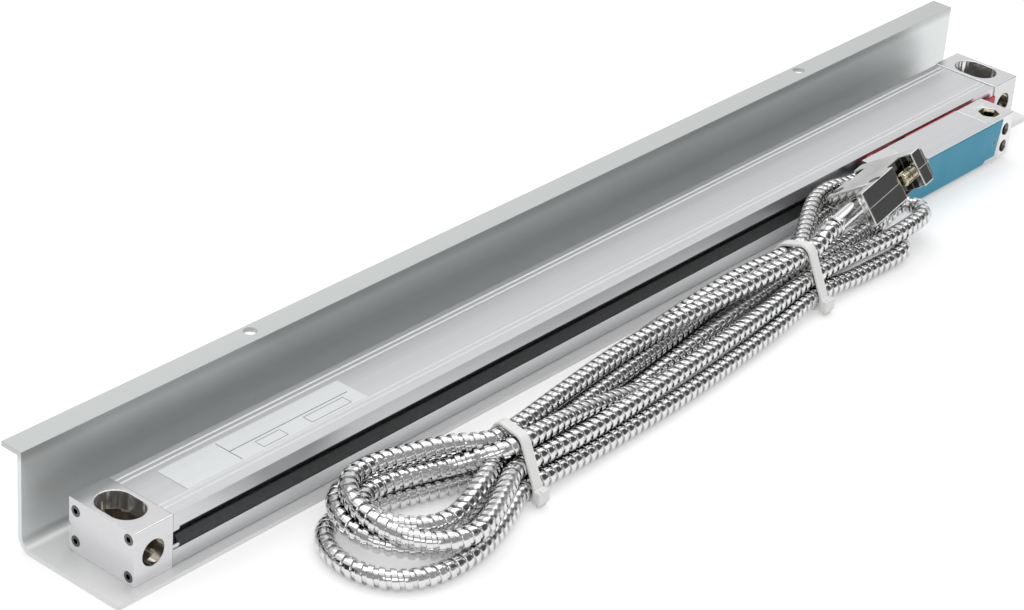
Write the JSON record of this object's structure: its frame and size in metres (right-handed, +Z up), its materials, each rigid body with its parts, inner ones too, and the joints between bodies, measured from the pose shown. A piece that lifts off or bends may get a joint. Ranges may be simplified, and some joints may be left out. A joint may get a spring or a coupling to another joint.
{
  "type": "linear glass scale",
  "caption": "Linear glass scale: extruded case with end caps, sliding reading head, coiled armoured lead with ties and a D-shaped connector, lying in a folded sheet dust guard.",
  "frame": {"origin": "middle of the scale along X, in the plane of the end caps' front faces along Y, at the underside of the dust guard along Z", "axes": "+X along the scale towards the end where the reading head stands, +Y from the head towards the guard's upright wall, +Z up"},
  "size_m": [0.5589, 0.1244, 0.0439],
  "materials": {
    "guard_aluminium": "satin sheet with fine rolling lines",
    "anodised_aluminium": "satin natural anodised",
    "polished_cap": "bright polished casting",
    "block_aluminium": "fine milled, natural anodised",
    "screw_steel": "zinc plated steel",
    "black_rubber": "matt black",
    "dark_rubber": "matt dark grey",
    "optical_glass": "clear with fine dark graduation",
    "label_foil": "silver-grey foil with ruled lines",
    "blue_film": "teal-blue satin film",
    "spring_steel": "thin rolled spring steel",
    "carriage_metal": "plain die casting",
    "circuit_board": "green solder mask",
    "gland_metal": "nickel plated",
    "core_jacket": "black jacket",
    "red_plastic": "crimson moulded plastic",
    "cable_armour": "wound steel armour",
    "clear_nylon": "white translucent nylon",
    "ferrule_metal": "nickel plated",
    "hood_metal": "metallised plastic",
    "shroud_metal": "tin plated steel",
    "black_plastic": "black moulded insulator",
    "contact_brass": "gold plated contacts",
    "thumb_brass": "knurled, yellow passivated",
    "bearing_steel": "ground steel rings"
  },
  "bodies": {
    "guard": {"dust_guard": "guard_aluminium"},
    "scale": {"scale_housing": "anodised_aluminium", "left_end_cap": "polished_cap", "right_end_cap": "polished_cap", "left_cap_gasket": "dark_rubber", "right_cap_gasket": "dark_rubber", "left_cap_screws": "screw_steel", "right_cap_screws": "screw_steel", "upper_seal_lip": "black_rubber", "lower_seal_lip": "dark_rubber", "glass_scale": "optical_glass", "glass_cushion_strip": "dark_rubber", "info_label": "label_foil"},
    "reading_head": {"head_housing": "anodised_aluminium", "left_mount_block": "block_aluminium", "right_mount_block": "block_aluminium", "block_screws": "screw_steel", "head_front_plate": "anodised_aluminium", "blue_cover_film": "blue_film", "cover_screws": "screw_steel", "coupling_blade": "spring_steel", "blade_screws": "screw_steel", "coupling_spring": "spring_steel", "carriage_frame": "carriage_metal", "bearing_pins": "screw_steel", "led_board": "circuit_board", "reticle_glass": "optical_glass", "photodiode_board": "circuit_board", "head_pcb": "circuit_board", "pcb_screws": "screw_steel", "lead_gland": "gland_metal", "lead_core": "core_jacket", "transit_spacer": "red_plastic", "cable_lead": "cable_armour", "cable_hank": "cable_armour", "cable_tail": "cable_armour", "cable_tie_left": "clear_nylon", "cable_tie_right": "clear_nylon", "cable_ferrule": "ferrule_metal", "plug_hood_upper": "hood_metal", "plug_hood_lower": "hood_metal", "plug_shell": "shroud_metal", "plug_insulator": "black_plastic", "plug_pins": "contact_brass", "hood_screws": "screw_steel"},
    "face_bearing_1": {"face_bearing_1": "bearing_steel"},
    "face_bearing_2": {"face_bearing_2": "bearing_steel"},
    "face_bearing_3": {"face_bearing_3": "bearing_steel"},
    "edge_bearing_1": {"edge_bearing_1": "bearing_steel"},
    "edge_bearing_2": {"edge_bearing_2": "bearing_steel"},
    "thumbscrew_left": {"thumbscrew_left": "thumb_brass"},
    "thumbscrew_right": {"thumbscrew_right": "thumb_brass"}
  },
  "joints": [
    {"name": "scale_lift", "type": "slide", "parent": "guard", "child": "scale", "axis": [0, 0, 1], "range_m": [0, 0.045]},
    {"name": "head_travel", "type": "slide", "parent": "scale", "child": "reading_head", "axis": [1, 0, 0], "range_m": [-0.392, 0.008]},
    {"name": "face_bearing_1_roll", "type": "hinge", "parent": "reading_head", "child": "face_bearing_1", "pos_m": [0.162, 0.0202, 0.01643], "axis": [0, 1, 0], "range_deg": [-8990, 190]},
    {"name": "face_bearing_2_roll", "type": "hinge", "parent": "reading_head", "child": "face_bearing_2", "pos_m": [0.222, 0.0202, 0.01643], "axis": [0, 1, 0], "range_deg": [-8990, 190]},
    {"name": "face_bearing_3_roll", "type": "hinge", "parent": "reading_head", "child": "face_bearing_3", "pos_m": [0.206, 0.0232, 0.01643], "axis": [0, 1, 0], "range_deg": [-8990, 190]},
    {"name": "edge_bearing_1_roll", "type": "hinge", "parent": "reading_head", "child": "edge_bearing_1", "pos_m": [0.154, 0.01462, 0.01285], "axis": [0, 0, 1], "range_deg": [-8990, 190]},
    {"name": "edge_bearing_2_roll", "type": "hinge", "parent": "reading_head", "child": "edge_bearing_2", "pos_m": [0.23, 0.01462, 0.01285], "axis": [0, 0, 1], "range_deg": [-8990, 190]},
    {"name": "thumbscrew_left_turn", "type": "hinge", "parent": "reading_head", "child": "thumbscrew_left", "pos_m": [0.1284, -0.03583, 0.03525], "axis": [0.9895, 0.1162, 0.0854], "continuous": true},
    {"name": "thumbscrew_right_turn", "type": "hinge", "parent": "reading_head", "child": "thumbscrew_right", "pos_m": [0.12721, -0.0153, 0.02104], "axis": [0.9895, 0.1162, 0.0854], "continuous": true}
  ],
  "couplings": [
    {"joint": "face_bearing_1_roll", "follows": "head_travel", "rad_per_m": 400},
    {"joint": "face_bearing_2_roll", "follows": "head_travel", "rad_per_m": 400},
    {"joint": "face_bearing_3_roll", "follows": "head_travel", "rad_per_m": 400},
    {"joint": "edge_bearing_1_roll", "follows": "head_travel", "rad_per_m": 400},
    {"joint": "edge_bearing_2_roll", "follows": "head_travel", "rad_per_m": 400}
  ]
}
